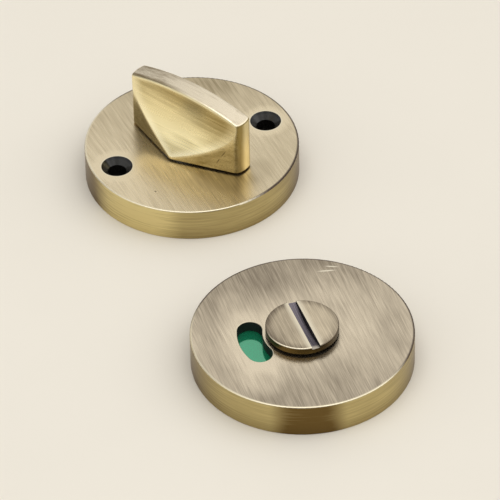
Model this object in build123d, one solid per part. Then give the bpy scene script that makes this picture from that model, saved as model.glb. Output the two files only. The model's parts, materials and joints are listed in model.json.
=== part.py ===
from build123d import *
import math
import os

# Privacy door latch in its two halves, lying face up: the inside thumb turn with its screw holes, and
# the outside coin release with its indicator window. Millimetres, +Z out of the door. The back planes of
# both roses lie at z = 0, and the origin is midway between the two spindle axes.

# How the two halves lie
pair_gap = 21.1               # between the two rims
pair_direction = -70.1        # from the thumb turn to the coin release, degrees from +X
turn_hole_angle = 24          # line of the inside half's screw holes
release_boss_angle = 106      # line of the outside half's screw bosses
knob_rest_angle = 64          # thumb turn to its screw-hole line as it lies
travel = 90                   # quarter turn between the stops

# Roses
fixing_centres = 38
screw_edge_distance = 6       # screw axis to the rim
rose_height = 8
face_thickness = 2.6
rim_wall = 2.5
rim_edge_radius = 0.3
back_edge_radius = 0.2
inner_corner_radius = 0.8
boss_diameter = 7.2
boss_web = 4                  # web that ties each boss to the rim
hub_wall = 2.1
hub_depth = 1.1               # hub below the inside of the face

# Screws
screw_hole_diameter = 4.3
countersink_diameter = 7.2
countersink_angle = 90
tap_drill_diameter = 3.3

# Shanks and spindle
shank_diameter = 12
shank_flat_depth = 0.6
groove_depth = 0.8
shank_tail = 0.9              # shank below its circlip
spindle_square = 6
spindle_clearance = 0.1
socket_depth = 7

# Bushes
bush_wall = 0.8
flange_overhang = 0.55
turn_gap = 0.5                # rose face to the thumb turn
release_gap = 0.6             # rose face to the coin head

# Thumb turn
knob_length = 32.6
knob_width = 16               # across the two blunt corners
knob_end_thickness = 5
knob_end_bulge = 0.5          # the ends are slightly convex
knob_end_height = 13.6
crown_rise = 2.2
knob_end_radius = 1.8
knob_corner_radius = 2.5
throat_thickness = 4.9        # thinnest place between the two scoops
throat_height = 13.5
scoop_foot = 0.5              # height at which a scoop runs out on the blunt corner
knob_edge_radius = 0.6

# Coin head
head_diameter = 16.4
head_thickness = 1.6
head_edge_radius = 0.3
slot_width = 2
slot_depth = 1.5              # in the middle: a disc cutter leaves a hollow floor
slot_end_depth = 0.5
slot_angle = 2.4              # from the line of the bosses
slot_offset = 0.4             # it is cut a little off centre

# Window and indicator
window_width = 5.6
window_sweep = 40             # between the centres of its round ends
window_edge_radius = 0.2
disc_border = 0.6             # disc beyond the window
disc_thickness = 1.0
label_thickness = 0.1
label_gap = 6                 # degrees between the two colour fields
label_lap = 0.3

# Stop cams, wave washers and circlips
cam_thickness = 1.0
cam_inset = 2                 # tip of the fan inside the screw circle
cam_hub_wall = 2.4
washer_thickness = 0.4
washer_height = 0.85
washer_width = 2.2
clip_thickness = 1.0
clip_width = 1.5
clip_mouth = 3                # opening between the lugs
lug_diameter = 2.8
lug_hole_diameter = 1.3

# Clearances
running_clearance = 0.05      # round shank in its bush
seat_clearance = 0.02         # bush in its rose
flat_clearance = 0.03         # shank flats in a disc or cam
washer_clearance = 0.3
axial_play = 0.05
disc_clearance = 0.3          # disc past the bosses
label_clearance = 0.1         # labels under the face
stop_clearance = 0.1          # fan to boss at the end of its travel

# Worked out
screw_radius = fixing_centres / 2
rose_diameter = fixing_centres + 2 * screw_edge_distance
pair_spacing = rose_diameter + pair_gap
cavity_depth = rose_height - face_thickness
cavity_radius = rose_diameter / 2 - rim_wall
flat_width = shank_diameter - 2 * shank_flat_depth
groove_diameter = shank_diameter - 2 * groove_depth
bush_bore = shank_diameter + 2 * running_clearance
bush_diameter = bush_bore + 2 * bush_wall
flange_diameter = bush_diameter + 2 * flange_overhang
rose_bore = bush_diameter + 2 * seat_clearance
hub_diameter = rose_bore + 2 * hub_wall
hub_bottom = cavity_depth - hub_depth
washer_bore = shank_diameter + 2 * washer_clearance
washer_diameter = washer_bore + 2 * washer_width
disc_radius = screw_radius - boss_diameter / 2 - disc_clearance
window_outer_radius = disc_radius - disc_border
window_mid_radius = window_outer_radius - window_width / 2
cam_radius = screw_radius - cam_inset
cam_hub_diameter = shank_diameter + 2 * cam_hub_wall

# Inside half, from the hub down
turn_cam_top = hub_bottom - washer_height - axial_play
turn_clip_top = turn_cam_top - cam_thickness

# Outside half, from the face down
label_top = cavity_depth - label_clearance
disc_top = label_top - label_thickness
release_bush_bottom = disc_top + axial_play
release_cam_top = disc_top - disc_thickness
release_washer_top = release_cam_top - cam_thickness
release_clip_top = release_washer_top - washer_height

# A fan tip meets a boss this far from the boss's own direction
stop_reach = boss_diameter / 2 + stop_clearance
stop_cosine = (cam_radius**2 + screw_radius**2 - stop_reach**2) / (2 * cam_radius * screw_radius)
fan_half_angle = 90 - travel / 2 - math.degrees(math.acos(stop_cosine))
turn_fan_angle = -travel / 2          # from the thumb turn's long axis
release_fan_angle = -90 - travel / 2  # from the line of the bosses

on_base = (Align.CENTER, Align.CENTER, Align.MIN)
half_spread = Vector(pair_spacing / 2, 0).rotate(Axis.Z, pair_direction)
turn_place = Pos(-half_spread.X, -half_spread.Y) * Rot(0, 0, turn_hole_angle)
knob_place = turn_place * Rot(0, 0, -knob_rest_angle)
release_place = Pos(half_spread.X, half_spread.Y) * Rot(0, 0, release_boss_angle)


def post(diameter, bottom, top):
    return Pos(0, 0, bottom) * Cylinder(diameter / 2, top - bottom, align=on_base)


def ring(diameter, bore, bottom, top):
    return post(diameter, bottom, top) - post(bore, bottom, top)


def flatted_post(diameter, across_flats, bottom, top):
    flats = Pos(0, 0, bottom) * Box(diameter, across_flats, top - bottom, align=on_base)
    return post(diameter, bottom, top) & flats


def flatted_hole(bottom, top):
    width = shank_diameter + 2 * flat_clearance
    return flatted_post(width, flat_width + 2 * flat_clearance, bottom, top)


def at_screws(shape):
    return [Pos(side * screw_radius, 0) * shape for side in (1, -1)]


def rose_shell():
    # Turned section with a hollow back, then two bosses webbed to the rim
    rim = rose_diameter / 2
    section = make_face(Polyline(
        (rose_bore / 2, cavity_depth), (cavity_radius, cavity_depth), (cavity_radius, 0),
        (rim, 0), (rim, rose_height), (rose_bore / 2, rose_height), close=True))
    corners = {(rim, rose_height): rim_edge_radius, (rim, 0): back_edge_radius,
               (cavity_radius, cavity_depth): inner_corner_radius}
    for corner, radius in corners.items():
        section = fillet(section.vertices().sort_by_distance(corner)[0], radius)
    shell = revolve(Plane.XZ * section, Axis.Z)
    web_length = cavity_radius + rim_wall / 2 - screw_radius
    web = Pos(web_length / 2, 0) * Box(web_length, boss_web, cavity_depth, align=on_base)
    boss = post(boss_diameter, 0, cavity_depth)
    for side in (0, 180):
        shell += Rot(0, 0, side) * Pos(screw_radius, 0) * (boss + web)
    return shell


def turn_rose():
    # Hub round the bush, and a countersunk hole through each boss
    rose = rose_shell() + ring(hub_diameter, rose_bore, hub_bottom, cavity_depth)
    sink_depth = (countersink_diameter - screw_hole_diameter) / 2
    sink_depth /= math.tan(math.radians(countersink_angle / 2))
    sink = Cone(screw_hole_diameter / 2, countersink_diameter / 2, sink_depth, align=on_base)
    hole = post(screw_hole_diameter, 0, rose_height) + Pos(0, 0, rose_height - sink_depth) * sink
    return rose - at_screws(hole)


def indicator_rose():
    # The window is opposite the stop cam, square to the line of the bosses
    rose = rose_shell()
    middle = CenterArc((0, 0), window_mid_radius, 90 - window_sweep / 2, window_sweep)
    rose -= Pos(0, 0, cavity_depth) * extrude(SlotArc(middle, window_width), face_thickness)
    reach = window_mid_radius + window_width
    axis_top = Vector(0, 0, rose_height)
    rims = [edge for edge in rose.edges().group_by(Axis.Z)[-1]
            if edge.center().Y > rose_bore / 2 and (edge.center() - axis_top).length < reach]
    rose = fillet(rims, window_edge_radius)
    return rose - at_screws(post(tap_drill_diameter, 0, cavity_depth))


def shank(top, flats_top, clip_top):
    # Round in the bush, flatted below it, grooved for the circlip and hollow for the spindle
    end = clip_top - clip_thickness - shank_tail
    stem = post(shank_diameter, flats_top, top)
    stem += flatted_post(shank_diameter, flat_width, end, flats_top)
    stem -= ring(shank_diameter + groove_depth, groove_diameter, clip_top - clip_thickness, clip_top)
    side = spindle_square + spindle_clearance
    return stem - Pos(0, 0, end) * Box(side, side, socket_depth, align=on_base)


def thumb_turn():
    # Six-sided plan with convex ends, crowned along its length, scooped on both flanks; long axis on X
    base = rose_height + turn_gap
    length, width = knob_length / 2, knob_width / 2
    end = knob_end_thickness / 2
    shoulder = length - knob_end_bulge
    half = ThreePointArc((shoulder, -end), (length, 0), (shoulder, end))
    half += Polyline((shoulder, end), (0, width), (-shoulder, end))
    plan = make_face(half.edges() + (Rot(0, 0, 180) * half).edges())
    plan = fillet(plan.vertices().filter_by(lambda v: abs(v.X) < length / 2), knob_corner_radius)
    plan = fillet(plan.vertices().filter_by(lambda v: abs(v.X) > shoulder * 0.99), knob_end_radius)
    knob = Pos(0, 0, base) * extrude(plan, knob_end_height + crown_rise)

    crown_radius = (length**2 + crown_rise**2) / (2 * crown_rise)
    crown_middle = base + knob_end_height + crown_rise - crown_radius
    knob &= Pos(0, 0, crown_middle) * Rot(90, 0, 0) * Cylinder(crown_radius, knob_width)

    throat = throat_thickness / 2
    spread = width - throat
    scoop_radius = (spread**2 + (throat_height - scoop_foot) ** 2) / (2 * spread)
    scoop = Rot(0, 90, 0) * Cylinder(scoop_radius, knob_length)
    for side in (1, -1):
        knob -= Pos(0, side * (throat + scoop_radius), base + throat_height) * scoop
    uprights = knob.edges().filter_by(GeomType.LINE).filter_by(Axis.Z)
    foot = knob.edges().filter_by(lambda e: e.center().Z < base + scoop_foot / 2)
    knob = fillet(knob.edges() - uprights - foot, knob_edge_radius)
    return knob + shank(base, hub_bottom, turn_clip_top)


def coin_release():
    # The slot is cut by a disc, square to its own line
    base = rose_height + release_gap
    top = base + head_thickness
    head = post(head_diameter, base, top)
    head = fillet(head.edges().group_by(Axis.Z)[-1], head_edge_radius)
    rise = slot_depth - slot_end_depth
    cutter_radius = ((head_diameter / 2) ** 2 + rise**2) / (2 * rise)
    cutter = Rot(90, 0, 0) * Cylinder(cutter_radius, slot_width)
    head -= Rot(0, 0, slot_angle) * Pos(0, -slot_offset, top - slot_depth + cutter_radius) * cutter
    return head + shank(base, release_bush_bottom, release_clip_top)


def bush(gap, bottom):
    barrel = ring(bush_diameter, bush_bore, bottom, rose_height)
    return barrel + ring(flange_diameter, bush_bore, rose_height, rose_height + gap - axial_play)


def wave_washer(top):
    # Flat ring bent about one line, crown upwards
    bow = washer_height - washer_thickness
    bow_radius = ((washer_diameter / 2) ** 2 + bow**2) / (2 * bow)
    sheet = Cylinder(bow_radius, washer_diameter) - Cylinder(bow_radius - washer_thickness, washer_diameter)
    sheet = Pos(0, 0, top - bow_radius) * Rot(90, 0, 0) * sheet
    return ring(washer_diameter, washer_bore, top - washer_height, top) & sheet


def stop_cam(fan_angle, top):
    # Hub with a fan whose two edges stop against the screw bosses
    tip = CenterArc((0, 0), cam_radius, fan_angle - fan_half_angle, 2 * fan_half_angle)
    fan = make_face([Line((0, 0), tip @ 0), tip, Line(tip @ 1, (0, 0))])
    bottom = top - cam_thickness
    plate = Pos(0, 0, bottom) * extrude(fan + Circle(cam_hub_diameter / 2), cam_thickness)
    return plate - flatted_hole(bottom, top)


def circlip(top):
    # Open retaining ring with two eyed lugs beside its mouth
    inner = groove_diameter / 2 + seat_clearance
    outer = inner + clip_width
    lug_y = (clip_mouth + lug_diameter) / 2
    lug_x = math.sqrt(outer**2 - lug_y**2)
    plan = Circle(outer) - Circle(inner) - Pos(outer, 0) * Rectangle(2 * outer, clip_mouth)
    for side in (1, -1):
        plan += Pos(lug_x, side * lug_y) * Circle(lug_diameter / 2)
        plan -= Pos(lug_x, side * lug_y) * Circle(lug_hole_diameter / 2)
    return Pos(0, 0, top - clip_thickness) * extrude(plan, clip_thickness)


def label(middle_angle):
    # Colour field on the disc, a little wider than the window
    start = middle_angle - (travel - label_gap) / 2
    outer = CenterArc((0, 0), window_outer_radius + label_lap, start, travel - label_gap)
    inner = CenterArc((0, 0), window_outer_radius - window_width - label_lap, start, travel - label_gap)
    field = make_face([outer, Line(outer @ 0, inner @ 0), inner, Line(inner @ 1, outer @ 1)])
    return Pos(0, 0, disc_top) * extrude(field, label_thickness)


def indicator_disc():
    bottom = disc_top - disc_thickness
    return post(2 * disc_radius, bottom, disc_top) - flatted_hole(bottom, disc_top)


nodes = {
    "turn_rose": turn_place * turn_rose(),
    "thumb_turn": knob_place * thumb_turn(),
    "turn_bush": turn_place * bush(turn_gap, hub_bottom),
    "turn_wave_washer": turn_place * wave_washer(hub_bottom),
    "turn_stop_cam": knob_place * stop_cam(turn_fan_angle, turn_cam_top),
    "turn_circlip": knob_place * circlip(turn_clip_top),
    "indicator_rose": release_place * indicator_rose(),
    "coin_release": release_place * coin_release(),
    "release_bush": release_place * bush(release_gap, release_bush_bottom),
    "indicator_disc": release_place * indicator_disc(),
    "vacant_label": release_place * label(90),
    "engaged_label": release_place * label(90 - travel),
    "release_stop_cam": release_place * stop_cam(release_fan_angle, release_cam_top),
    "release_wave_washer": release_place * wave_washer(release_washer_top),
    "release_circlip": release_place * circlip(release_clip_top),
}

os.makedirs("parts", exist_ok=True)
for name, shape in nodes.items():
    export_step(shape, f"parts/{name}.step")
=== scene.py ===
import bpy
import json
import math
from functools import partial
from mathutils import Matrix, Vector


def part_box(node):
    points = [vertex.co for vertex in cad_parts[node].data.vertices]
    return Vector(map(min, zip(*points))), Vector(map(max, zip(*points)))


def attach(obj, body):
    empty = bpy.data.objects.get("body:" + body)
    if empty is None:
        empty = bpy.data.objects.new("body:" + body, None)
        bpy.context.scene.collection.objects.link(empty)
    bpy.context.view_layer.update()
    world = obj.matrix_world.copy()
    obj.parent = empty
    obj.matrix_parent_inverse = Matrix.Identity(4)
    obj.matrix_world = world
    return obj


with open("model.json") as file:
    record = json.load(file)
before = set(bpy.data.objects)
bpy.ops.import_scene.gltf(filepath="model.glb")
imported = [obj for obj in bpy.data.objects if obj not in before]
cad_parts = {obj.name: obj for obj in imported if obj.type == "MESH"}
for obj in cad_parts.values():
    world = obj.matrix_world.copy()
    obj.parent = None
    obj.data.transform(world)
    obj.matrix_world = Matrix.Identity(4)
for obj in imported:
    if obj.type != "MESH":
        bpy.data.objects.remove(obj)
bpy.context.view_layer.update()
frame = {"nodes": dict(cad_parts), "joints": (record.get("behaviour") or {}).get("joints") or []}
mm = 0.001

# the spindle axes and the roses' sizes come from the frame, so every pattern sits on its own piece
pivots = {joint["child"]: Vector(joint["pos_m"]) for joint in frame["joints"]}
roseLow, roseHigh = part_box("turn_rose")
roseRadius = (roseHigh.x - roseLow.x) / 2 / mm
roseTop = roseHigh.z / mm
print("frame loaded:", len(frame["nodes"]), "nodes, rose radius", round(roseRadius, 2), "mm")


def linear(hexColour):  # sRGB hex to the linear values that a colour socket takes
    channels = [int(hexColour[i:i + 2], 16) / 255 for i in (1, 3, 5)]
    return [c / 12.92 if c <= 0.04045 else ((c + 0.055) / 1.055) ** 2.4 for c in channels] + [1.0]


def plug(tree, node, inputs):  # sets each input, or links it to a socket or to a node's first output in use
    for key, value in inputs.items():
        if isinstance(value, bpy.types.Node):
            value = next(socket for socket in value.outputs if socket.enabled)
        if isinstance(value, bpy.types.NodeSocket):
            tree.links.new(value, node.inputs[key])
        else:
            node.inputs[key].default_value = value


def addNode(tree, kind, inputs=None, **settings):  # one node with its settings, values and links
    node = tree.nodes.new(kind)
    for key, value in settings.items():
        setattr(node, key, value)
    plug(tree, node, inputs or {})
    return node


def newMaterial(name):  # the material, a way to add nodes to it and a way to fill its shader's inputs
    material = bpy.data.materials.new(name)
    material.use_nodes = True
    tree = material.node_tree
    return material, partial(addNode, tree), partial(plug, tree, tree.nodes["Principled BSDF"])


def pieceFrame(add, pivot, angle):  # place in mm from an axis, x turned to the angle; and the normal's z
    coords = add("ShaderNodeTexCoord")
    turn = -math.radians(angle)
    centre = Matrix.Rotation(turn, 3, "Z") @ Vector((pivot.x, pivot.y, 0)) / mm
    place = add("ShaderNodeMapping", {"Vector": coords.outputs["Object"], "Location": -centre,
                                      "Rotation": (0, 0, turn), "Scale": (1 / mm,) * 3})
    return place, add("ShaderNodeSeparateXYZ", {0: coords.outputs["Normal"]}).outputs["Z"]


def brushMarks(add, place, sizes):  # hairlines, strokes and broad patches drawn out along x, each about zero
    marks = []
    for name, detail in (("hair", 2.0), ("stroke", 3.0), ("patch", 2.0)):
        length, width, gain = sizes[name]
        drawn = add("ShaderNodeVectorMath", {0: place, 1: (1 / length, 1 / width, 1 / width)},
                    operation="MULTIPLY")
        noise = add("ShaderNodeTexNoise", {"Vector": drawn, "Scale": 1.0, "Detail": detail,
                                           "Roughness": 0.55})
        marks.append(add("ShaderNodeMath", {0: noise, 1: gain, 2: -gain / 2}, operation="MULTIPLY_ADD"))
    return marks


def bearing(add, pivot, azimuth):  # cosine of the angle round the axis from an azimuth
    place, _ = pieceFrame(add, pivot, azimuth)
    flat = add("ShaderNodeVectorMath", {0: place, 1: (1, 1, 0)}, operation="MULTIPLY")
    unit = add("ShaderNodeVectorMath", {0: flat}, operation="NORMALIZE")
    return add("ShaderNodeSeparateXYZ", {0: unit}).outputs["X"]


brushBump = {"Strength": 0.06, "Distance": 0.02 * mm}  # relief of the brush marks
grainBump = {"Strength": 0.2, "Distance": 0.02 * mm}  # relief of a moulded or plated surface
noiseRange = {"From Min": 0.3, "From Max": 0.7}  # most of a noise lies in here

# antique brass, straight-brushed through a dark patina: champagne where the brush cut, grey umber left in the
# scratches, lighter in two broad fans and darker between them, pale rings where the openings were deburred,
# golden on the turned wall
# sizes in mm, and depths into an opening from its edge; a range goes from none to all, a strength is a share
# a painted highlight and painted shade also lie on the rim, on the wall and, on the turn rose, on the face by
# the knob
roseFinish = {
    "haloStart": 0.2, "ringWidth": 0.55, "ringFull": 0.1, "ringStrength": 0.8,
    "fanStart": 8.0, "fanFull": 19.0,
    "rimRadius": 0.3, "rimLineWidth": 0.3, "rimLineStrength": 0.8, "rimHighlightRange": (-0.1, 0.4), "rimEdge": 0.4,
    "lathe": (9.0, 0.3, 0.65), "wallAhead": (0.1, 0.8), "footShare": 0.6, "footShade": 0.16,
    "faceSheet": 2.6, "sheetMargin": 0.01, "roundedFacing": (0.3, 0.6), "faceFacing": (0.93, 0.99),
    "openMargin": 0.03, "lipDepth": (0.2, 0.6), "coneDepth": (1.5, 1.3), "boreDepth": 1.35,
    "castGrit": 0.4, "castShade": 0.75, "roughDark": 0.36, "roughPale": 0.25, "roughWall": 0.34,
    "wallLight": "#DCCB92", "wallDark": "#6E5830", "rimShade": "#54473F", "rubbedAndHighlit": "#F2E6C8",
    "blackLip": "#0C0B0A", "cast": "#8D7A52",
}
# how each rose has worn, and where light and shade are painted on it: brush marks as length and width in mm
# and strength (real scratches are 0.05 mm wide, drawn coarser), then azimuths with a strength: pale fans, the
# paler side, the wall's front with its painted light, a patch of the wall, the side of the rim's painted
# highlight; a halo is a width and a strength; patches of the face, which on the turn rose paint the knob's
# reflection and shade, are a middle from the spindle axis, a direction, half-length, half-width in mm and
# strength
turnWear = {
    "grain": -66.0, "hair": (11.0, 0.16, 0.90), "stroke": (10.0, 0.7, 0.75), "patch": (30.0, 9.0, 0.50),
    "level": 0.75, "rimLoss": 0.03, "fan": (20.0, 0.07), "side": (250.0, 0.14), "halo": (3.0, 0.40),
    "dark": "#988868", "pale": "#F0DFBC",
    "wall": 0.25, "wallFront": (276.0, 0.30), "wallPatch": (235.0, 31.0, 0.62), "rimHighlightSide": 222.0,
    "blacking": "#282622", "openingRough": 0.2,
    "patches": [((7.0, -14.0), 0.0, 12.0, 5.5, -0.22), ((15.0, -10.5), 50.0, 6.0, 5.0, -0.16),
                ((4.0, 21.0), -10.0, 8.0, 4.5, -0.20), ((-9.5, -4.5), -40.0, 8.0, 5.0, 0.24)],
}
releaseWear = {
    "grain": -73.0, "hair": (9.0, 0.16, 1.05), "stroke": (8.0, 0.6, 0.80), "patch": (26.0, 8.0, 0.75),
    "level": 0.73, "rimLoss": 0.30, "fan": (9.0, 0.19), "side": (312.0, 0.11), "halo": (6.0, 0.36),
    "dark": "#988B78", "pale": "#F0E0C4",
    "wall": 0.37, "wallFront": (274.0, 0.26), "wallPatch": (272.0, 21.0, -0.66), "rimHighlightSide": 245.0,
    "blacking": "#141312", "openingRough": 0.55,
    "patches": [((21.0, 0.0), 97.0, 11.0, 5.0, -0.21), ((6.0, 16.0), -35.0, 10.0, 7.0, 0.22),
                ((-9.0, -15.0), -73.0, 7.5, 6.0, 0.34), ((-15.0, 8.5), -73.0, 7.0, 5.0, 0.20)],
}
screwHoles = {"radius": 19.0, "angle": 24.0, "countersink": 3.6}
window = {"radius": 11.7, "angle": 196.0, "sweep": 20.0, "halfWidth": 2.8}


def holeEdge(add, pivot):  # distance in mm from the edge of the nearer countersink
    place, _ = pieceFrame(add, pivot, screwHoles["angle"])
    across = add("ShaderNodeVectorMath", {0: place, 1: (1, 1, 0)}, operation="MULTIPLY")
    folded = add("ShaderNodeVectorMath", {0: across}, operation="ABSOLUTE")
    reach = add("ShaderNodeVectorMath", {0: folded, 1: (screwHoles["radius"], 0, 0)}, operation="DISTANCE")
    return add("ShaderNodeMath", {0: reach, 1: screwHoles["countersink"]}, operation="SUBTRACT")


def windowEdge(add, pivot):  # distance in mm from the edge of the kidney window
    place, _ = pieceFrame(add, pivot, window["angle"])
    parts = add("ShaderNodeSeparateXYZ", {0: place})
    swing = add("ShaderNodeMath", {0: parts.outputs["Y"], 1: parts.outputs["X"]}, operation="ARCTAN2")
    swing = add("ShaderNodeClamp", {"Value": swing, "Min": -math.radians(window["sweep"]),
                                    "Max": math.radians(window["sweep"])})
    spine = add("ShaderNodeVectorRotate", {"Vector": (window["radius"], 0, 0), "Angle": swing},
                rotation_type="Z_AXIS")
    across = add("ShaderNodeVectorMath", {0: place, 1: (1, 1, 0)}, operation="MULTIPLY")
    reach = add("ShaderNodeVectorMath", {0: across, 1: spine}, operation="DISTANCE")
    return add("ShaderNodeMath", {0: reach, 1: window["halfWidth"]}, operation="SUBTRACT")


# marks on the faces: middle from the spindle axis, direction, half-length and half-width in mm;
# each mark is solid over a share of its size and fades from there
scuffs = [((5.92, 20.42), 4.6, 2.6, 0.32), ((7.12, 21.86), -7.0, 1.9, 0.26)]
specks = [((-8.40, -17.18), 0.0, 0.32, 0.26)]
solidShare = {"face": 0.4, "side": 0.2}


def faceMarks(add, pivot, marks):  # 1 in the middle of each mark, fading to 0 at its edge
    masks = 0.0
    for (x, y), angle, halfLength, halfWidth in marks:
        place, _ = pieceFrame(add, pivot + Vector((x, y, 0)) * mm, angle)
        scaled = add("ShaderNodeVectorMath", {0: place, 1: (1 / halfLength, 1 / halfWidth, 0)},
                     operation="MULTIPLY")
        reach = add("ShaderNodeVectorMath", {0: scaled}, operation="LENGTH")
        mark = add("ShaderNodeMapRange", {"Value": reach, "From Min": 1.0, "From Max": solidShare["face"]},
                   interpolation_type="SMOOTHSTEP")
        masks = add("ShaderNodeMath", {0: masks, 1: mark}, operation="ADD")
    return masks


def roseBrass(name, pivot, wear, openingEdge, marks, markColour):
    sizes = roseFinish
    material, add, fillShader = newMaterial(name)
    place, facing = pieceFrame(add, pivot, wear["grain"])
    height = add("ShaderNodeSeparateXYZ", {0: place}).outputs["Z"]
    across = add("ShaderNodeVectorMath", {0: place, 1: (1, 1, 0)}, operation="MULTIPLY")
    radius = add("ShaderNodeVectorMath", {0: across}, operation="LENGTH")
    edge = openingEdge(add, pivot)
    hair, stroke, patch = brushMarks(add, across, wear)

    # face: outwards it keeps more patina, least on one side, and is lighter in two fans and darker between
    # them; openings have a rubbed ring
    azimuth, gain = wear["fan"]
    fan = bearing(add, pivot, azimuth)
    fan = add("ShaderNodeMath", {0: fan, 1: fan}, operation="MULTIPLY")
    fan = add("ShaderNodeMapRange", {"Value": fan, "To Min": -gain, "To Max": gain},
              interpolation_type="SMOOTHSTEP")
    azimuth, gain = wear["side"]
    side = bearing(add, pivot, azimuth)
    side = add("ShaderNodeMath", {0: side, 1: gain, 2: -wear["rimLoss"]}, operation="MULTIPLY_ADD")
    fan = add("ShaderNodeMath", {0: fan, 1: side}, operation="ADD")
    outwards = add("ShaderNodeMapRange", {"Value": radius, "From Min": sizes["fanStart"],
                                          "From Max": sizes["fanFull"]}, interpolation_type="SMOOTHSTEP")
    outwards = add("ShaderNodeMath", {0: outwards, 1: fan}, operation="MULTIPLY")
    width, gain = wear["halo"]
    halo = add("ShaderNodeMapRange", {"Value": edge, "From Min": sizes["haloStart"], "From Max": width,
                                      "To Min": gain, "To Max": 0.0}, interpolation_type="SMOOTHSTEP")
    rubbed = hair
    for part in (stroke, patch, outwards, halo, wear["level"]):
        rubbed = add("ShaderNodeMath", {0: rubbed, 1: part}, operation="ADD")
    # patches of the face: on the turn rose the knob's painted reflection and shade, darker in front of it and
    # lighter beside it
    for *outline, gain in wear["patches"]:
        rubbed = add("ShaderNodeMath", {0: faceMarks(add, pivot, [outline]), 1: gain, 2: rubbed},
                     operation="MULTIPLY_ADD")
    face = add("ShaderNodeMix", {"Factor": rubbed, "A": linear(wear["dark"]), "B": linear(wear["pale"])},
               data_type="RGBA")
    face = add("ShaderNodeMix", {"Factor": faceMarks(add, pivot, marks), "A": face, "B": linear(markColour)},
               data_type="RGBA")
    ring = add("ShaderNodeMapRange", {"Value": edge, "From Min": sizes["ringWidth"],
                                      "From Max": sizes["ringFull"], "To Max": sizes["ringStrength"]},
               interpolation_type="SMOOTHSTEP")
    face = add("ShaderNodeMix", {"Factor": ring, "A": face, "B": linear(sizes["rubbedAndHighlit"])},
               data_type="RGBA")

    # rim: a painted highlight on the side towards the front, and a line of painted shade along the rest of
    # the face's edge
    low, high = sizes["rimHighlightRange"]
    frontHighlight = add("ShaderNodeMapRange", {"Value": bearing(add, pivot, wear["rimHighlightSide"]), "From Min": low,
                                      "From Max": high}, interpolation_type="SMOOTHSTEP")
    rim = add("ShaderNodeMix", {"Factor": frontHighlight, "A": linear(sizes["rimShade"]),
                                "B": linear(sizes["rubbedAndHighlit"])}, data_type="RGBA")
    lineEnd = roseRadius - sizes["rimRadius"]
    rimLine = add("ShaderNodeMapRange", {"Value": radius, "From Min": lineEnd - sizes["rimLineWidth"],
                                         "From Max": lineEnd, "To Max": sizes["rimLineStrength"]},
                  interpolation_type="SMOOTHSTEP")
    face = add("ShaderNodeMix", {"Factor": rimLine, "A": face, "B": rim}, data_type="RGBA")

    # wall: turned, so its fine lines run round; painted light makes it lighter at the front and darker to the
    # sides, painted shade darkens the foot, and it has one odd stretch
    length, width, strength = sizes["lathe"]
    lathe = add("ShaderNodeVectorMath", {0: place, 1: (1 / length, 1 / length, 1 / width)},
                operation="MULTIPLY")
    lathe = add("ShaderNodeTexNoise", {"Vector": lathe, "Scale": 1.0, "Detail": 3.0})
    azimuth, spread, gain = wear["wallPatch"]
    stretch = add("ShaderNodeMapRange", {"Value": bearing(add, pivot, azimuth),
                                         "From Min": math.cos(math.radians(spread)), "To Max": gain},
                  interpolation_type="SMOOTHSTEP")
    broken = add("ShaderNodeMath", {0: lathe, 1: 2.0}, operation="MULTIPLY")  # about 1 on average
    stretch = add("ShaderNodeMath", {0: stretch, 1: broken}, operation="MULTIPLY")
    azimuth, gain = wear["wallFront"]
    low, high = sizes["wallAhead"]
    wallFrontLight = add("ShaderNodeMapRange", {"Value": bearing(add, pivot, azimuth), "From Min": low,
                                       "From Max": high, "To Min": -gain, "To Max": gain},
                interpolation_type="SMOOTHSTEP")
    paintedFootShade = add("ShaderNodeMapRange", {"Value": height, "From Max": roseTop * sizes["footShare"],
                                      "To Min": -sizes["footShade"], "To Max": 0.0},
               interpolation_type="SMOOTHSTEP")
    wallTone = add("ShaderNodeMath", {0: lathe, 1: strength, 2: wear["wall"] - strength / 2},
                   operation="MULTIPLY_ADD")
    for part in (stretch, wallFrontLight, paintedFootShade):
        wallTone = add("ShaderNodeMath", {0: wallTone, 1: part}, operation="ADD")
    wall = add("ShaderNodeMix", {"Factor": wallTone, "A": linear(sizes["wallDark"]),
                                 "B": linear(sizes["wallLight"])}, data_type="RGBA")

    # zones: cast back, outer wall, rounded edge, brushed face, blackened openings
    sheetFoot = roseTop - sizes["faceSheet"] + sizes["sheetMargin"]
    sheet = add("ShaderNodeMath", {0: height, 1: sheetFoot}, operation="GREATER_THAN")
    low, high = sizes["roundedFacing"]
    rounded = add("ShaderNodeMapRange", {"Value": facing, "From Min": low, "From Max": high, "To Max": sheet},
                  interpolation_type="SMOOTHSTEP")
    low, high = sizes["faceFacing"]
    front = add("ShaderNodeMapRange", {"Value": facing, "From Min": low, "From Max": high, "To Max": sheet},
                interpolation_type="SMOOTHSTEP")
    outer = add("ShaderNodeMath", {0: radius, 1: roseRadius - sizes["rimEdge"]}, operation="GREATER_THAN")
    bore = add("ShaderNodeMath", {0: edge, 1: -sizes["boreDepth"]}, operation="LESS_THAN")
    opened = add("ShaderNodeMath", {0: edge, 1: sizes["openMargin"]}, operation="LESS_THAN")
    opened = add("ShaderNodeMath", {0: opened, 1: sheet}, operation="MULTIPLY")
    opened = add("ShaderNodeMath", {0: opened, 1: bore}, operation="MAXIMUM")
    low, high = sizes["lipDepth"]
    lip = add("ShaderNodeMapRange", {"Value": edge, "From Min": -low, "From Max": -high},
              interpolation_type="SMOOTHSTEP")
    low, high = sizes["coneDepth"]
    cone = add("ShaderNodeMapRange", {"Value": edge, "From Min": -low, "From Max": -high, "To Max": lip})
    black = add("ShaderNodeMix", {"Factor": cone, "A": linear(sizes["blackLip"]),
                                  "B": linear(wear["blacking"])}, data_type="RGBA")
    grit = add("ShaderNodeTexNoise", {"Vector": place, "Scale": 1 / sizes["castGrit"], "Detail": 3.0})
    shade = add("ShaderNodeMapRange", {"Value": grit, **noiseRange, "To Min": sizes["castShade"]})
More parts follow.
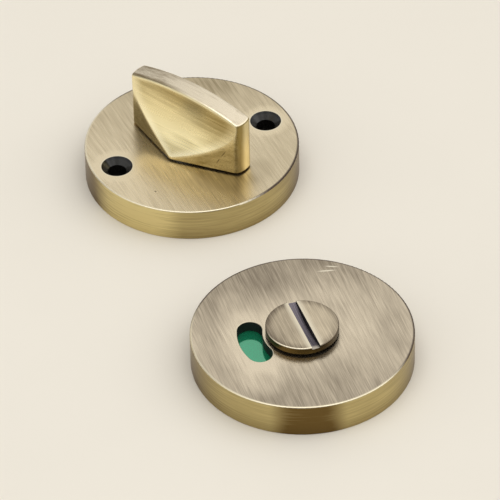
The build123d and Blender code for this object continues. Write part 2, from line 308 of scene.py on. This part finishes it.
    colour = add("ShaderNodeVectorMath", {0: linear(sizes["cast"])[:3], "Scale": shade}, operation="SCALE")
    for mask, layer in ((outer, wall), (rounded, rim), (front, face), (opened, black)):
        colour = add("ShaderNodeMix", {"Factor": mask, "A": colour, "B": layer}, data_type="RGBA")

    rough = add("ShaderNodeMix", {"Factor": rubbed, "A": sizes["roughDark"], "B": sizes["roughPale"]})
    rough = add("ShaderNodeMix", {"Factor": front, "A": sizes["roughWall"], "B": rough})
    rough = add("ShaderNodeMix", {"Factor": opened, "A": rough, "B": wear["openingRough"]})
    metal = add("ShaderNodeMath", {0: 1.0, 1: opened}, operation="SUBTRACT")
    relief = add("ShaderNodeMix", {"Factor": front, "A": lathe, "B": hair})
    bump = add("ShaderNodeBump", {"Height": relief, **brushBump})
    # light spreads across the brush lines: sideways on the face, up and down on the wall
    sideways = Matrix.Rotation(math.radians(wear["grain"] + 90), 3, "Z") @ Vector((1, 0, 0))
    tangent = add("ShaderNodeMix", {"Factor": front, "A": (0, 0, 1), "B": sideways}, data_type="VECTOR")
    tangent = add("ShaderNodeVectorTransform", {0: tangent}, vector_type="VECTOR", convert_from="OBJECT",
                  convert_to="WORLD")
    fillShader({"Base Color": colour, "Roughness": rough, "Metallic": metal, "Normal": bump,
                "Anisotropic": 0.5, "Tangent": tangent})
    return material


frame["nodes"]["turn_rose"].data.materials[0] = roseBrass(
    "brushedAntiqueBrassTurnRose", pivots["turn"], turnWear, holeEdge, specks, "#6E5F4A")
frame["nodes"]["indicator_rose"].data.materials[0] = roseBrass(
    "brushedAntiqueBrassIndicatorRose", pivots["release"], releaseWear, windowEdge, scuffs, "#F6EBD2")
print("roses finished")

# M4 x 0.7 thread in the two tapped bosses: its crests stand out of the tap drill's wall as a round ridge
threadSizes = {"pitch": 0.7, "ridge": 0.2, "radius": 1.73, "start": 0.4, "end": 5.0, "steps": 28, "sides": 6,
               "bossRadius": 19.0, "bossAngle": 106.0}


def tappedThreads():
    sizes = threadSizes
    tree = bpy.data.node_groups.new("tappedThreads", "GeometryNodeTree")
    values = {"Helix Radius": sizes["radius"] * mm, "Ridge Radius": sizes["ridge"] * mm,
              "Length": (sizes["end"] - sizes["start"]) * mm,
              "Turns": (sizes["end"] - sizes["start"]) / sizes["pitch"]}
    for name in values:
        tree.interface.new_socket(name, in_out="INPUT", socket_type="NodeSocketFloat")
    tree.interface.new_socket("Geometry", in_out="OUTPUT", socket_type="NodeSocketGeometry")
    add = partial(addNode, tree)
    given = add("NodeGroupInput").outputs
    helix = add("GeometryNodeCurveSpiral", {"Resolution": sizes["steps"], "Rotations": given["Turns"],
                                            "Start Radius": given["Helix Radius"],
                                            "End Radius": given["Helix Radius"], "Height": given["Length"],
                                            "Reverse": True})
    section = add("GeometryNodeCurvePrimitiveCircle", {"Resolution": sizes["sides"],
                                                       "Radius": given["Ridge Radius"]})
    ridge = add("GeometryNodeCurveToMesh", {"Curve": helix, "Profile Curve": section, "Fill Caps": True})
    swing = math.radians(sizes["bossAngle"])
    arm = Vector((math.cos(swing), math.sin(swing), 0)) * sizes["bossRadius"] * mm
    middle = Vector((pivots["release"].x, pivots["release"].y, sizes["start"] * mm))
    bosses = add("GeometryNodeMeshLine", {"Count": 2, "Start Location": middle - arm, "Offset": 2 * arm})
    placed = add("GeometryNodeInstanceOnPoints", {"Points": bosses, "Instance": ridge})
    plain = add("GeometryNodeRealizeInstances", {"Geometry": placed})
    brass = frame["nodes"]["indicator_rose"].data.materials[0]
    finished = add("GeometryNodeSetMaterial", {"Geometry": plain, "Material": brass})
    add("NodeGroupOutput", {"Geometry": finished})

    piece = bpy.data.objects.new("tappedThreads", bpy.data.meshes.new("tappedThreads"))
    bpy.context.scene.collection.objects.link(piece)
    growth = piece.modifiers.new("threads", "NODES")
    growth.node_group = tree
    for item in tree.interface.items_tree:
        if item.in_out == "INPUT":
            growth[item.identifier] = values[item.name]
    grown = piece.evaluated_get(bpy.context.evaluated_depsgraph_get())
    mesh = bpy.data.meshes.new_from_object(grown)
    piece.modifiers.remove(growth)
    piece.data = mesh
    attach(piece, "roses")
    return piece


print("threads cut:", len(tappedThreads().data.polygons), "faces")

# antique brass, polished and then fine-brushed along its length: golden in the scoops and on the flanks,
# which mirror the rose, and pale champagne on the crowned top, where the patina was brushed hardest
# places are in mm along, across and up; a tone is 0 in the patina and 1 where it is rubbed bright
# light and shade are also painted on the top, in the scoops and on the rounded ends
turnFinish = {
    "hair": (18.0, 0.18, 0.55), "stroke": (12.0, 0.9, 0.80), "patch": (14.0, 3.0, 0.55),
    "angle": -40.0, "halfLength": 16.3, "topHeight": 21.0, "topFacing": (0.5, 0.95),
    "scoopAxis": (20.45, 22.0), "scoopRadius": 18.0, "flankAngle": 70.8, "flankReach": 7.56,
    "crownCentre": -37.2, "crownRadius": 61.5,
    "creaseWidth": 1.25, "creaseFull": 0.15, "creaseSlope": 2.2, "creaseAlong": (2.0, 12.0),
    "creaseStrength": (0.95, 0.5),
    "topLightAndPatina": (0.56, 1.10), "topToneEnd": 0.3, "farHalf": (3.0, -5.0), "nearEdge": (-0.9, -1.8, -0.45),
    "farEdgeShade": (1.0, 2.2, -0.25), "topStreaks": 1.5, "sideStreaks": 1.0, "endStreaks": (0.9, 0.5, 0.15),
    "scoopDepth": 0.1, "scoopAlong": (2.0, 11.0), "scoopTone": (0.48, 0.34), "flankTone": 0.36,
    "scoopHighlightGain": 0.66, "scoopShadeGain": -0.30,
    "cornerFacing": (0.45, 0.70), "cornerHeight": (10.0, 20.0), "cornerShadeGain": (-0.05, -0.42),
    "endFacing": (0.82, 0.99), "endAcross": (-1.6, 0.4), "endHighlightGain": (-0.10, 0.66),
    "roughStreaks": 0.4, "roughDark": 0.34, "roughPale": 0.22, "upward": 0.05,
    "goldDark": "#98844E", "gold": "#F6E6B2", "bandDark": "#8A7654", "band": "#F3E5CA", "crease": "#FFF1C4",
    "scratch": "#54452A",
}
# on the sides, along and up in mm, leaning in degrees, half-length and half-height: a painted highlight
# across the scoops, painted shade low in them, and three scratches by the near end (0.05 mm wide in life,
# drawn coarser)
scoopHighlight = ((-3.0, 15.2), -4.0, 19.0, 6.6)
scoopShade = ((1.5, 12.9), 0.0, 6.5, 1.3)
sideScratches = [((12.7, 13.5), 60.0, 1.5, 0.12), ((11.4, 11.1), 65.0, 1.4, 0.11),
                 ((12.5, 14.9), 21.0, 1.5, 0.09)]
throughDepth = 1000.0  # a mark goes right through to both sides


def sideMark(add, place, mark):  # 1 in the middle of a mark on the sides, fading to 0 at its edge
    (along, up), lean, halfLength, halfHeight = mark
    scaled = add("ShaderNodeMapping", {"Vector": place, "Location": (along, 0, up),
                                       "Rotation": (0, -math.radians(lean), 0),
                                       "Scale": (halfLength, throughDepth, halfHeight)},
                 vector_type="TEXTURE")
    reach = add("ShaderNodeVectorMath", {0: scaled}, operation="LENGTH")
    return add("ShaderNodeMapRange", {"Value": reach, "From Min": 1.0, "From Max": solidShare["side"]},
               interpolation_type="SMOOTHSTEP")


def turnCreases(add, place, sizes):  # distance from a scoop's surface, and how far its creases are rubbed
    folded = add("ShaderNodeVectorMath", {0: place}, operation="ABSOLUTE")
    profile = add("ShaderNodeVectorMath", {0: folded, 1: (0, 1, 1)}, operation="MULTIPLY")
    scoop = add("ShaderNodeVectorMath", {0: profile, 1: (0, *sizes["scoopAxis"])}, operation="DISTANCE")
    scoop = add("ShaderNodeMath", {0: scoop, 1: sizes["scoopRadius"]}, operation="SUBTRACT")
    swing = math.radians(sizes["flankAngle"])
    flank = add("ShaderNodeVectorMath", {0: folded, 1: (math.cos(swing), math.sin(swing), 0)},
                operation="DOT_PRODUCT")
    flank = add("ShaderNodeMath", {0: sizes["flankReach"], 1: flank}, operation="SUBTRACT")
    lengthwise = add("ShaderNodeVectorMath", {0: place, 1: (1, 0, 1)}, operation="MULTIPLY")
    crown = add("ShaderNodeVectorMath", {0: lengthwise, 1: (0, 0, sizes["crownCentre"])},
                operation="DISTANCE")
    crown = add("ShaderNodeMath", {0: sizes["crownRadius"], 1: crown}, operation="SUBTRACT")
    along = add("ShaderNodeSeparateXYZ", {0: place}).outputs["X"]
    farEnd = add("ShaderNodeMath", {0: along, 1: sizes["halfLength"]}, operation="ADD")
    nearest = flank
    for part in (crown, farEnd):
        nearest = add("ShaderNodeMath", {0: nearest, 1: part}, operation="MINIMUM")
    reach = add("ShaderNodeMath", {0: scoop, 1: sizes["creaseSlope"], 2: nearest}, operation="MULTIPLY_ADD")
    (start, end), (strong, weak) = sizes["creaseAlong"], sizes["creaseStrength"]
    fade = add("ShaderNodeMapRange", {"Value": along, "From Min": start, "From Max": end, "To Min": strong,
                                      "To Max": weak})
    rubbed = add("ShaderNodeMapRange", {"Value": reach, "From Min": sizes["creaseWidth"],
                                        "From Max": sizes["creaseFull"], "To Max": fade},
                 interpolation_type="SMOOTHSTEP")
    return scoop, rubbed


def thumbTurnBrass():
    sizes = turnFinish
    material, add, fillShader = newMaterial("fineBrushedAntiqueBrass")
    place, facing = pieceFrame(add, pivots["turn"], sizes["angle"])
    parts = add("ShaderNodeSeparateXYZ", {0: place})
    hair, stroke, patch = brushMarks(add, place, sizes)
    streaks = hair
    for part in (stroke, patch):
        streaks = add("ShaderNodeMath", {0: streaks, 1: part}, operation="ADD")
    lengthwise = Matrix.Rotation(math.radians(sizes["angle"]), 3, "Z") @ Vector((1, 0, 0))
    normal = add("ShaderNodeTexCoord").outputs["Normal"]
    endOn = add("ShaderNodeVectorMath", {0: normal, 1: lengthwise}, operation="DOT_PRODUCT")
    endOn = add("ShaderNodeMath", {0: endOn}, operation="ABSOLUTE")
    start, end, least = sizes["endStreaks"]
    brushed = add("ShaderNodeMapRange", {"Value": endOn, "From Min": start, "From Max": end, "To Min": least})
    streaks = add("ShaderNodeMath", {0: streaks, 1: brushed}, operation="MULTIPLY")
    # painted light along the crown: the top is lighter towards the near end and darker towards the far end,
    # which also keeps more patina
    low, high = sizes["topLightAndPatina"]
    topLightAndPatina = add("ShaderNodeMapRange", {"Value": parts.outputs["X"], "From Min": -sizes["halfLength"],
                                         "From Max": sizes["halfLength"] * sizes["topToneEnd"],
                                         "To Min": low, "To Max": high}, interpolation_type="SMOOTHSTEP")
    # and its edges are darker: the near one over the far half with patina, the far one all along with painted
    # shade on its rounding
    start, end = sizes["farHalf"]
    farHalf = add("ShaderNodeMapRange", {"Value": parts.outputs["X"], "From Min": start, "From Max": end,
                                         "To Max": sizes["nearEdge"][2]}, interpolation_type="SMOOTHSTEP")
    for start, end, gain in ((*sizes["nearEdge"][:2], farHalf), sizes["farEdgeShade"]):
        edging = add("ShaderNodeMapRange", {"Value": parts.outputs["Y"], "From Min": start, "From Max": end,
                                            "To Max": gain}, interpolation_type="SMOOTHSTEP")
        topLightAndPatina = add("ShaderNodeMath", {0: topLightAndPatina, 1: edging}, operation="ADD")
    scoop, creases = turnCreases(add, place, sizes)
    scooped = add("ShaderNodeMath", {0: scoop, 1: sizes["scoopDepth"]}, operation="LESS_THAN")
    (start, end), (low, high) = sizes["scoopAlong"], sizes["scoopTone"]
    scoopTone = add("ShaderNodeMapRange", {"Value": parts.outputs["X"], "From Min": start, "From Max": end,
                                           "To Min": low, "To Max": high})
    # a painted highlight across the scoop and painted shade low in it
    for mark, gain in ((scoopHighlight, sizes["scoopHighlightGain"]), (scoopShade, sizes["scoopShadeGain"])):
        scoopTone = add("ShaderNodeMath", {0: sideMark(add, place, mark), 1: gain, 2: scoopTone},
                        operation="MULTIPLY_ADD")
    sideTone = add("ShaderNodeMix", {"Factor": scooped, "A": sizes["flankTone"], "B": scoopTone})
    # each rounded end has painted shade on its corners, most at the top, and a painted highlight between them
    (start, end), (low, high) = sizes["cornerHeight"], sizes["cornerShadeGain"]
    cornerShade = add("ShaderNodeMapRange", {"Value": parts.outputs["Z"], "From Min": start, "From Max": end,
                                         "To Min": low, "To Max": high})
    (start, end), (low, high) = sizes["endAcross"], sizes["endHighlightGain"]
    endFaceHighlight = add("ShaderNodeMapRange", {"Value": parts.outputs["Y"], "From Min": start, "From Max": end,
                                        "To Min": low, "To Max": high}, interpolation_type="SMOOTHSTEP")
    for (start, end), gain in ((sizes["cornerFacing"], cornerShade), (sizes["endFacing"], endFaceHighlight)):
        rounding = add("ShaderNodeMapRange", {"Value": endOn, "From Min": start, "From Max": end,
                                              "To Max": gain}, interpolation_type="SMOOTHSTEP")
        sideTone = add("ShaderNodeMath", {0: sideTone, 1: rounding}, operation="ADD")
    tones = []
    for level, gain, dark, pale in ((sideTone, sizes["sideStreaks"], "goldDark", "gold"),
                                    (topLightAndPatina, sizes["topStreaks"], "bandDark", "band")):
        tone = add("ShaderNodeMath", {0: streaks, 1: gain, 2: level}, operation="MULTIPLY_ADD")
        tones.append(add("ShaderNodeMix", {"Factor": tone, "A": linear(sizes[dark]),
                                           "B": linear(sizes[pale])}, data_type="RGBA"))
    nearSide = add("ShaderNodeMath", {0: parts.outputs["Y"], 1: 0.0}, operation="LESS_THAN")
    for mark in sideScratches:
        scratched = add("ShaderNodeMath", {0: sideMark(add, place, mark), 1: nearSide}, operation="MULTIPLY")
        tones[0] = add("ShaderNodeMix", {"Factor": scratched, "A": tones[0], "B": linear(sizes["scratch"])},
                       data_type="RGBA")
    raised = add("ShaderNodeMath", {0: parts.outputs["Z"], 1: sizes["topHeight"]}, operation="GREATER_THAN")
    start, end = sizes["topFacing"]
    top = add("ShaderNodeMapRange", {"Value": facing, "From Min": start, "From Max": end, "To Max": raised},
              interpolation_type="SMOOTHSTEP")
    colour = add("ShaderNodeMix", {"Factor": top, "A": tones[0], "B": tones[1]}, data_type="RGBA")
    colour = add("ShaderNodeMix", {"Factor": creases, "A": colour, "B": linear(sizes["crease"])},
                 data_type="RGBA")
    rough = add("ShaderNodeMapRange", {"Value": streaks, "From Min": -sizes["roughStreaks"],
                                       "From Max": sizes["roughStreaks"], "To Min": sizes["roughDark"],
                                       "To Max": sizes["roughPale"]})
    bump = add("ShaderNodeBump", {"Height": hair, **brushBump})
    # light spreads across the length; the small part upwards keeps the end faces defined
    tangent = add("ShaderNodeVectorMath", {0: normal, 1: lengthwise}, operation="CROSS_PRODUCT")
    tangent = add("ShaderNodeVectorMath", {0: tangent, 1: (0, 0, sizes["upward"])}, operation="ADD")
    tangent = add("ShaderNodeVectorTransform", {0: tangent}, vector_type="VECTOR", convert_from="OBJECT",
                  convert_to="WORLD")
    fillShader({"Base Color": colour, "Roughness": rough, "Metallic": 1.0, "Normal": bump, "Anisotropic": 0.7,
                "Tangent": tangent})
    return material


frame["nodes"]["thumb_turn"].data.materials[0] = thumbTurnBrass()
print("thumb turn finished")

# antique brass, turned: its head is brushed along the slot, whose edges are rubbed pale, and has a painted
# highlight on the near rim and side; the slot keeps its patina, black on the walls, with painted shade along
# one wall and a painted highlight at its open end
# sizes in mm; the paler side and the side of the painted highlight are azimuths, the painted highlight at the
# slot's end is along the slot
coinFinish = {
    "hair": (14.0, 0.16, 0.85), "stroke": (9.0, 0.6, 0.75), "patch": (10.0, 5.0, 0.60),
    "angle": 108.4, "slotMiddle": -0.4, "slotHalf": 1.0, "headTop": 10.2, "headThickness": 1.6,
    "headRadius": 8.2, "level": 0.58, "rimPatinaWidth": 2.2, "rimPatinaGain": -0.4,
    "palerSide": 0.0, "palerGain": 0.2, "highlightSide": 245.0, "highlightRange": (0.5, 0.95), "sideHighlightGain": 0.7,
    "lathe": (6.0, 0.15, 0.4), "rubWidth": 1.5, "cutRange": 0.1, "slotEndHighlight": (-6.4, -7.6),
    "wallShadeWidth": 0.03, "wallShadeFade": 0.12, "levelFacing": 0.6, "edgeFacing": (0.25, 0.5),
    "topFacing": (0.9, 0.99), "headMargin": 0.05, "slotMargin": 0.02, "rimMargin": 0.04,
    "roughDark": 0.38, "roughPale": 0.28,
    "dark": "#7C6F5E", "pale": "#EEDDBE", "rubbed": "#F3E7CC",
    "gold": "#6C5A33", "goldDark": "#1E1810", "slot": "#8A8288", "slotDark": "#5E585E", "slotWall": "#0E0D0C",
    "slotEnd": "#DCD2C0",
}


def coinHeadBrass():
    sizes = coinFinish
    material, add, fillShader = newMaterial("turnedAntiqueBrass")
    place, facing = pieceFrame(add, pivots["release"], sizes["angle"])
    parts = add("ShaderNodeSeparateXYZ", {0: place})
    across = add("ShaderNodeVectorMath", {0: place, 1: (1, 1, 0)}, operation="MULTIPLY")
    radius = add("ShaderNodeVectorMath", {0: across}, operation="LENGTH")
    hair, stroke, patch = brushMarks(add, across, sizes)
    offLine = add("ShaderNodeMath", {0: parts.outputs["Y"], 1: sizes["slotMiddle"]}, operation="SUBTRACT")
    offLine = add("ShaderNodeMath", {0: offLine}, operation="ABSOLUTE")

    # head: darker in a ring at its rim and on one side, rubbed along both edges of the slot
    ring = add("ShaderNodeMapRange", {"Value": radius,
                                      "From Min": sizes["headRadius"] - sizes["rimPatinaWidth"],
                                      "From Max": sizes["headRadius"], "To Max": sizes["rimPatinaGain"]},
               interpolation_type="SMOOTHSTEP")
    lean = bearing(add, pivots["release"], sizes["palerSide"])
    lean = add("ShaderNodeMath", {0: lean, 1: radius}, operation="MULTIPLY")
    lean = add("ShaderNodeMath", {0: lean, 1: sizes["palerGain"] / sizes["headRadius"], 2: sizes["level"]},
               operation="MULTIPLY_ADD")
    rubbed = hair
    for part in (stroke, patch, ring, lean):
        rubbed = add("ShaderNodeMath", {0: rubbed, 1: part}, operation="ADD")
    face = add("ShaderNodeMix", {"Factor": rubbed, "A": linear(sizes["dark"]), "B": linear(sizes["pale"])},
               data_type="RGBA")
    strip = add("ShaderNodeMapRange", {"Value": offLine, "From Min": sizes["slotHalf"] + sizes["rubWidth"],
                                       "From Max": sizes["slotHalf"]}, interpolation_type="SMOOTHSTEP")
    face = add("ShaderNodeMix", {"Factor": strip, "A": face, "B": linear(sizes["rubbed"])}, data_type="RGBA")
    length, width, gain = sizes["lathe"]
    lathe = add("ShaderNodeVectorMath", {0: place, 1: (1 / length, 1 / length, 1 / width)},
                operation="MULTIPLY")
    lathe = add("ShaderNodeTexNoise", {"Vector": lathe, "Scale": 1.0, "Detail": 2.0})
    # the head's side and rounded edge: a painted highlight towards the front-left, dark elsewhere
    low, high = sizes["highlightRange"]
    frontHighlight = add("ShaderNodeMapRange", {"Value": bearing(add, pivots["release"], sizes["highlightSide"]),
                                      "From Min": low, "From Max": high}, interpolation_type="SMOOTHSTEP")
    side = add("ShaderNodeMapRange", {"Value": lathe, **noiseRange, "To Max": gain})
    side = add("ShaderNodeMath", {0: frontHighlight, 1: sizes["sideHighlightGain"], 2: side}, operation="MULTIPLY_ADD")
    side = add("ShaderNodeMix", {"Factor": side, "A": linear(sizes["goldDark"]), "B": linear(sizes["gold"])},
               data_type="RGBA")
    edge = add("ShaderNodeMix", {"Factor": frontHighlight, "A": linear(sizes["dark"]), "B": linear(sizes["rubbed"])},
               data_type="RGBA")
    cut = add("ShaderNodeMapRange", {"Value": hair, "From Min": -sizes["cutRange"],
                                     "From Max": sizes["cutRange"]})
    groove = add("ShaderNodeMix", {"Factor": cut, "A": linear(sizes["slotDark"]), "B": linear(sizes["slot"])},
                 data_type="RGBA")
    # painted highlight: the slot's floor goes pale where it runs out at its open end
    start, end = sizes["slotEndHighlight"]
    slotEndHighlight = add("ShaderNodeMapRange", {"Value": parts.outputs["X"], "From Min": start, "From Max": end},
                 interpolation_type="SMOOTHSTEP")
    groove = add("ShaderNodeMix", {"Factor": slotEndHighlight, "A": groove, "B": linear(sizes["slotEnd"])},
                 data_type="RGBA")
    # painted shade: a dark strip on the slot's floor along its right wall
    wallShadeEnd = sizes["slotMiddle"] - sizes["slotHalf"] + sizes["wallShadeWidth"]
    wallShadeStrip = add("ShaderNodeMapRange", {"Value": parts.outputs["Y"],
                                        "From Min": wallShadeEnd + sizes["wallShadeFade"], "From Max": wallShadeEnd})
    groove = add("ShaderNodeMix", {"Factor": wallShadeStrip, "A": groove, "B": linear(sizes["slotWall"])},
                 data_type="RGBA")
    level = add("ShaderNodeMath", {0: facing, 1: sizes["levelFacing"]}, operation="GREATER_THAN")
    groove = add("ShaderNodeMix", {"Factor": level, "A": linear(sizes["slotWall"]), "B": groove},
                 data_type="RGBA")

    # zones: below the head the shank stays golden; on the head its edge, its top and the slot
    headFoot = sizes["headTop"] - sizes["headThickness"] + sizes["headMargin"]
    head = add("ShaderNodeMath", {0: parts.outputs["Z"], 1: headFoot}, operation="GREATER_THAN")
    low, high = sizes["edgeFacing"]
    edging = add("ShaderNodeMapRange", {"Value": facing, "From Min": low, "From Max": high, "To Max": head},
                 interpolation_type="SMOOTHSTEP")
    low, high = sizes["topFacing"]
    top = add("ShaderNodeMapRange", {"Value": facing, "From Min": low, "From Max": high, "To Max": head},
              interpolation_type="SMOOTHSTEP")
    slot = head
    for value, limit in ((offLine, sizes["slotHalf"] + sizes["slotMargin"]),
                         (parts.outputs["Z"], sizes["headTop"] - sizes["slotMargin"]),
                         (radius, sizes["headRadius"] - sizes["rimMargin"])):
        within = add("ShaderNodeMath", {0: value, 1: limit}, operation="LESS_THAN")
        slot = add("ShaderNodeMath", {0: slot, 1: within}, operation="MULTIPLY")
    colour = side
    for mask, layer in ((edging, edge), (top, face), (slot, groove)):
        colour = add("ShaderNodeMix", {"Factor": mask, "A": colour, "B": layer}, data_type="RGBA")
    rough = add("ShaderNodeMix", {"Factor": rubbed, "A": sizes["roughDark"], "B": sizes["roughPale"]})
    bump = add("ShaderNodeBump", {"Height": hair, **brushBump})
    fillShader({"Base Color": colour, "Roughness": rough, "Metallic": 1.0, "Normal": bump})
    return material


frame["nodes"]["coin_release"].data.materials[0] = coinHeadBrass()
print("coin release finished")

# translucent enamel over bright plate: it mirrors the room in its own colour and goes dark under the window's
# edge; each has two tones, in clouds of a size in mm
enamels = {"vacant_label": ("greenGlossEnamel", "#20AE7A", "#189E6C"),
           "engaged_label": ("redGlossEnamel", "#B8201C", "#A01815")}
cloudSize = 2.5
for node, (name, colour, cloud) in enamels.items():
    material, add, fillShader = newMaterial(name)
    coords = add("ShaderNodeTexCoord")
    clouds = add("ShaderNodeTexNoise", {"Vector": coords.outputs["Object"], "Scale": 1 / (cloudSize * mm),
                                        "Detail": 2.0})
    tone = add("ShaderNodeMix", {"Factor": clouds, "A": linear(colour), "B": linear(cloud)}, data_type="RGBA")
    fillShader({"Base Color": tone, "Metallic": 0.6, "Roughness": 0.12, "Coat Weight": 1.0, "Coat IOR": 1.8,
                "Coat Roughness": 0.04})
    frame["nodes"][node].data.materials[0] = material
print("labels finished")

# hidden works: moulded acetal, phosphated spring steel and zinc-plated steel
# each has two tones, a grain size in mm, metallic, and a roughness range
worksFinish = {
    "mouldedBlackAcetal": {
        "tones": ("#161616", "#1F1F1E"), "grain": 0.6, "metal": 0.0, "rough": (0.38, 0.5),
        "nodes": ("turn_bush", "release_bush")},
    "phosphatedSpringSteel": {
        "tones": ("#3A3B3D", "#55565A"), "grain": 0.8, "metal": 1.0, "rough": (0.4, 0.55),
        "nodes": ("turn_wave_washer", "release_wave_washer", "turn_circlip", "release_circlip")},
    "zincPlatedSteel": {
        "tones": ("#B9BCC0", "#A4A8A6"), "grain": 1.6, "metal": 1.0, "rough": (0.28, 0.42),
        "nodes": ("turn_stop_cam", "release_stop_cam", "indicator_disc")},
}
for name, sizes in worksFinish.items():
    material, add, fillShader = newMaterial(name)
    coords = add("ShaderNodeTexCoord")
    grain = add("ShaderNodeTexNoise", {"Vector": coords.outputs["Object"], "Scale": 1 / (sizes["grain"] * mm),
                                       "Detail": 4.0, "Roughness": 0.6})
    spread = add("ShaderNodeMapRange", {"Value": grain, **noiseRange})
    tone = add("ShaderNodeMix", {"Factor": spread, "A": linear(sizes["tones"][0]),
                                 "B": linear(sizes["tones"][1])}, data_type="RGBA")
    rough = add("ShaderNodeMapRange", {"Value": spread, "To Min": sizes["rough"][0],
                                       "To Max": sizes["rough"][1]})
    bump = add("ShaderNodeBump", {"Height": grain, **grainBump})
    fillShader({"Base Color": tone, "Roughness": rough, "Metallic": sizes["metal"], "Normal": bump})
    for node in sizes["nodes"]:
        frame["nodes"][node].data.materials[0] = material
print("works finished")

# stage: pale warm paper, a soft room that brightens overhead, panels and flags that model the metal, a soft
# box; each panel is round and up in degrees, inner and outer half-angle, and a brightness that it adds to the
# room, or takes away as a flag
panels = {"right": (10, 40, 8, 28, 0.80), "left": (200, 4, 6, 20, 0.60), "frontFlag": (268, 50, 8, 30, -0.60),
          "backFlag": (152, 42, 6, 20, -0.70)}
stageSizes = {"floor": 4.0, "paper": "#EFE8DA", "paperShade": "#EBE4D6", "horizon": 0.42, "zenith": 1.02,
              "fibre": 40.0, "boxSide": 1.2, "boxHeight": 1.3, "boxAhead": 0.25, "boxPower": 4.8}
bpy.ops.mesh.primitive_plane_add(size=stageSizes["floor"])
floor = bpy.context.object
floor.name = "paperFloor"
paper, add, fillShader = newMaterial("warmPaper")
coords = add("ShaderNodeTexCoord")
fibre = add("ShaderNodeTexNoise", {"Vector": coords.outputs["Object"],
                                   "Scale": 1 / (stageSizes["fibre"] * mm), "Detail": 3.0})
paperTone = add("ShaderNodeMix", {"Factor": fibre, "A": linear(stageSizes["paper"]),
                                  "B": linear(stageSizes["paperShade"])}, data_type="RGBA")
fillShader({"Base Color": paperTone, "Roughness": 0.9, "Specular IOR Level": 0.1})
floor.data.materials.append(paper)

world = bpy.data.worlds.new("softRoom")
bpy.context.scene.world = world
world.use_nodes = True
add = partial(addNode, world.node_tree)
direction = add("ShaderNodeTexCoord").outputs["Generated"]
upward = add("ShaderNodeSeparateXYZ", {0: direction}).outputs["Z"]
glow = add("ShaderNodeMapRange", {"Value": upward, "To Min": stageSizes["horizon"],
                                  "To Max": stageSizes["zenith"]})
for azimuth, elevation, inner, outer, gain in panels.values():
    azimuth, elevation, inner, outer = (math.radians(angle) for angle in (azimuth, elevation, inner, outer))
    aim = Vector((math.cos(elevation) * math.cos(azimuth), math.cos(elevation) * math.sin(azimuth),
                  math.sin(elevation)))
    near = add("ShaderNodeVectorMath", {0: direction, 1: aim}, operation="DOT_PRODUCT")
    light = add("ShaderNodeMapRange", {"Value": near, "From Min": math.cos(outer),
                                       "From Max": math.cos(inner), "To Max": gain},
                interpolation_type="SMOOTHSTEP")
    glow = add("ShaderNodeMath", {0: glow, 1: light}, operation="ADD")
plug(world.node_tree, world.node_tree.nodes["Background"], {"Color": linear("#FFFFFF"), "Strength": glow})

lamp = bpy.data.lights.new("softBox", "AREA")
lamp.shape = "SQUARE"
lamp.size = stageSizes["boxSide"]
lamp.energy = stageSizes["boxPower"]
softBox = bpy.data.objects.new("softBox", lamp)
bpy.context.scene.collection.objects.link(softBox)
softBox.location = (0, -stageSizes["boxAhead"], stageSizes["boxHeight"])
softBox.rotation_euler = (-softBox.location).to_track_quat("-Z", "Y").to_euler()

# camera: fitted to the two rims, a long lens from in front and above, with a slight roll
cameraSizes = {"elevation": 40.6, "distance": 1.033, "roll": -1.3, "focalPixels": 4507.0, "framePixels": 500,
               "sensor": 36.0, "target": (0.921 * mm, 4.099 * mm, 0)}
camera = bpy.data.cameras.new("camera")
camera.sensor_width = cameraSizes["sensor"]
camera.lens = camera.sensor_width * cameraSizes["focalPixels"] / cameraSizes["framePixels"]
viewer = bpy.data.objects.new("camera", camera)
bpy.context.scene.collection.objects.link(viewer)
tilt = math.radians(90 - cameraSizes["elevation"])
stand = Vector((0, -math.sin(tilt), math.cos(tilt))) * cameraSizes["distance"]
viewer.matrix_world = (Matrix.Translation(Vector(cameraSizes["target"]) + stand)
                       @ Matrix.Rotation(tilt, 4, "X")
                       @ Matrix.Rotation(math.radians(cameraSizes["roll"]), 4, "Z"))
bpy.context.scene.camera = viewer
bpy.context.scene.view_settings.view_transform = "Standard"
print("stage, light and camera set")
